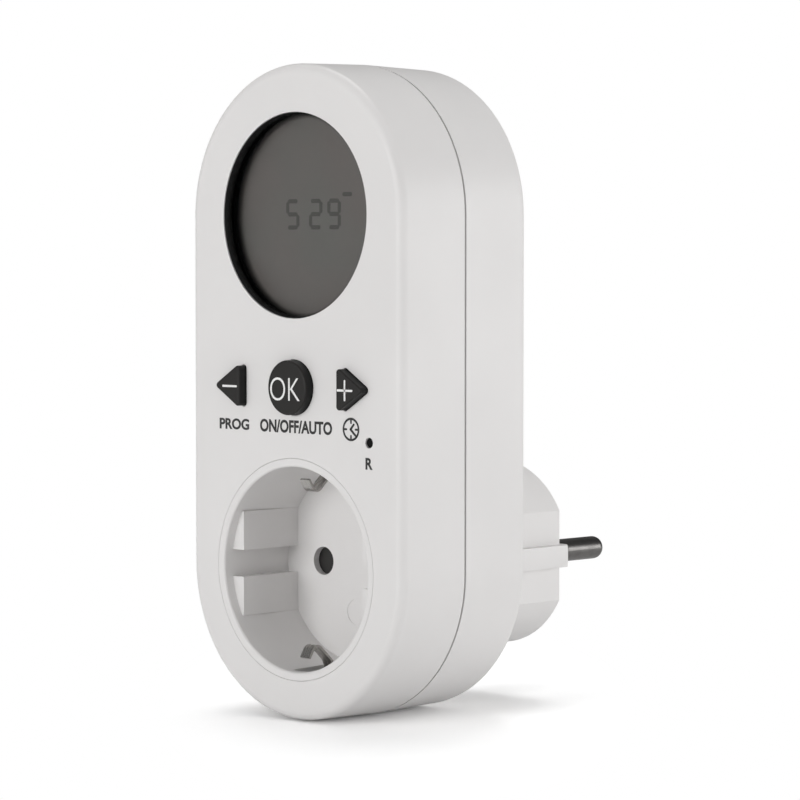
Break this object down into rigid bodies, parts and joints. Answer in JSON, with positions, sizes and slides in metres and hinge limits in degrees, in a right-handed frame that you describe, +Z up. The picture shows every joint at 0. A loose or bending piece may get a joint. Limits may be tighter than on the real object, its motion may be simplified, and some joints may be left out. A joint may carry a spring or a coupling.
{
  "type": "plug-in timer switch",
  "caption": "Plug-in timer switch for a wall outlet: rounded housing with a round display, push buttons and an earthed round socket in front, two-pin plug behind.",
  "frame": {"origin": "centre of the plug's flat face, midway between the two pins where they leave it", "axes": "+Y along the pins, towards the wall; +Z up, along the housing; +X to the right of someone facing the display"},
  "size_m": [0.0608, 0.0832, 0.1312],
  "materials": {
    "housing_plastic": "fine satin, light grey",
    "cup_plastic": "fine satin, light grey",
    "inner_plastic": "plain moulded, light grey",
    "shutter_plastic": "plain moulded, near black",
    "spring_steel": "drawn wire",
    "pin_metal": "nickel plated, dark bright",
    "contact_brass": "bare, stamped",
    "earth_metal": "nickel plated, stamped",
    "lens_plastic": "clear, gloss",
    "frame_plastic": "satin black",
    "lcd_glass": "dark grey display",
    "backing_plastic": "translucent reflector",
    "strip_rubber": "layered silicone",
    "board_laminate": "solder mask, green",
    "switch_plastic": "plain black",
    "stem_plastic": "plain moulded",
    "key_plastic": "satin, charcoal",
    "chip_resin": "potting resin",
    "cell_steel": "nickel plated",
    "can_steel": "drawn can",
    "relay_case": "moulded case",
    "film_case": "dipped box",
    "sleeve_plastic": "shrink sleeve",
    "disc_resin": "dipped disc",
    "diode_resin": "moulded",
    "resistor_enamel": "enamelled",
    "ribbon_plastic": "flat cable",
    "neutral_sleeve": "wire sleeve, blue",
    "live_sleeve": "wire sleeve, brown",
    "screw_steel": "zinc plated"
  },
  "bodies": {
    "housing": {"backup_battery": "cell_steel", "board_screws": "screw_steel", "clock_crystal": "can_steel", "contact_base": "inner_plastic", "contact_strip": "strip_rubber", "control_board": "board_laminate", "control_chip": "chip_resin", "display_frame": "frame_plastic", "display_lens": "lens_plastic", "dropper_capacitor": "film_case", "earth_bar_strap": "earth_metal", "earth_clip_strap": "earth_metal", "earth_rivet": "earth_metal", "front_shell": "housing_plastic", "housing_screws": "screw_steel", "lcd_backing": "backing_plastic", "lcd_panel": "lcd_glass", "line_contact": "contact_brass", "line_in_wire": "live_sleeve", "line_out_wire": "live_sleeve", "line_pin": "pin_metal", "line_strip": "contact_brass", "neutral_contact": "contact_brass", "neutral_pin": "pin_metal", "neutral_strip": "contact_brass", "neutral_wire": "neutral_sleeve", "power_board": "board_laminate", "power_resistor": "resistor_enamel", "push_switches": "switch_plastic", "rear_shell": "housing_plastic", "rectifier_diodes": "diode_resin", "relay": "relay_case", "ribbon_cable": "ribbon_plastic", "shutter_spring": "spring_steel", "smoothing_capacitor": "sleeve_plastic", "socket_cup": "cup_plastic", "varistor": "disc_resin"},
    "minus_key": {"minus_button": "key_plastic", "minus_stem": "stem_plastic"},
    "ok_key": {"ok_button": "key_plastic", "ok_stem": "stem_plastic"},
    "plus_key": {"plus_button": "key_plastic", "plus_stem": "stem_plastic"},
    "reset_key": {"reset_stem": "switch_plastic"},
    "safety_shutter": {"shutter": "shutter_plastic"}
  },
  "joints": [
    {"name": "minus_key_press", "type": "slide", "parent": "housing", "child": "minus_key", "axis": [0, 1, 0], "range_m": [0, 0.0006], "stiffness_N_per_m": 1500, "springref_m": -0.0004},
    {"name": "ok_key_press", "type": "slide", "parent": "housing", "child": "ok_key", "axis": [0, 1, 0], "range_m": [0, 0.0006], "stiffness_N_per_m": 1500, "springref_m": -0.0004},
    {"name": "plus_key_press", "type": "slide", "parent": "housing", "child": "plus_key", "axis": [0, 1, 0], "range_m": [0, 0.0006], "stiffness_N_per_m": 1500, "springref_m": -0.0004},
    {"name": "reset_key_press", "type": "slide", "parent": "housing", "child": "reset_key", "axis": [0, 1, 0], "range_m": [0, 0.0006], "stiffness_N_per_m": 1500, "springref_m": -0.0004},
    {"name": "shutter_slide", "type": "slide", "parent": "housing", "child": "safety_shutter", "axis": [0, 0, 1], "range_m": [0, 0.0066], "stiffness_N_per_m": 60, "springref_m": -0.004, "deforming": ["shutter_spring"]}
  ]
}
